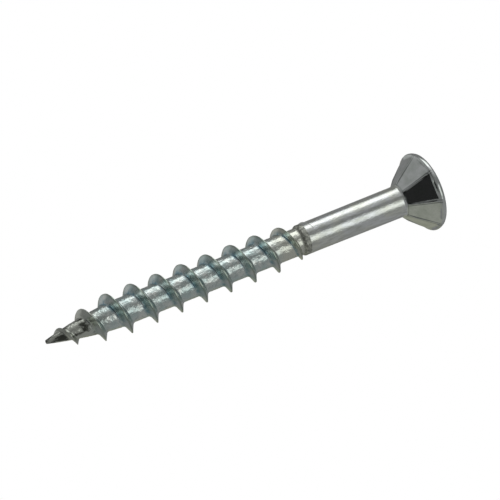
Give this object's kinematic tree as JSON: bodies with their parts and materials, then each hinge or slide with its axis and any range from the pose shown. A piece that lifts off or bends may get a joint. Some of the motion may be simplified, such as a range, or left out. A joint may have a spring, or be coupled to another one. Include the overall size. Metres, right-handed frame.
{
  "type": "countersunk wood screw",
  "caption": "Partly threaded countersunk wood screw with a flat-faceted underhead, plain shank, coarse deep thread and gimlet point, bright zinc plated.",
  "frame": {"origin": "centre of the head's flat face, where the driver enters and which lies flush with the work", "axes": "+Z along the screw's axis out of the head's face, so the point is at -Z; +X across one pair of the cross recess's wings"},
  "size_m": [0.0098, 0.0098, 0.05],
  "materials": {
    "smooth_zinc": "bright zinc plate over smooth drawn and forged steel, with a faint yellow-green tint",
    "rolled_zinc": "bright zinc plate over rolled steel, rippled along the core, with a faint blue tint"
  },
  "bodies": {
    "root": {"head_rim": "smooth_zinc", "faceted_cone": "smooth_zinc", "underhead_ribs": "smooth_zinc", "neck": "smooth_zinc", "shank": "smooth_zinc", "shoulder": "rolled_zinc", "threaded_core": "rolled_zinc", "thread": "rolled_zinc", "thread_runout": "rolled_zinc", "point": "rolled_zinc", "point_thread": "rolled_zinc"}
  },
  "joints": []
}
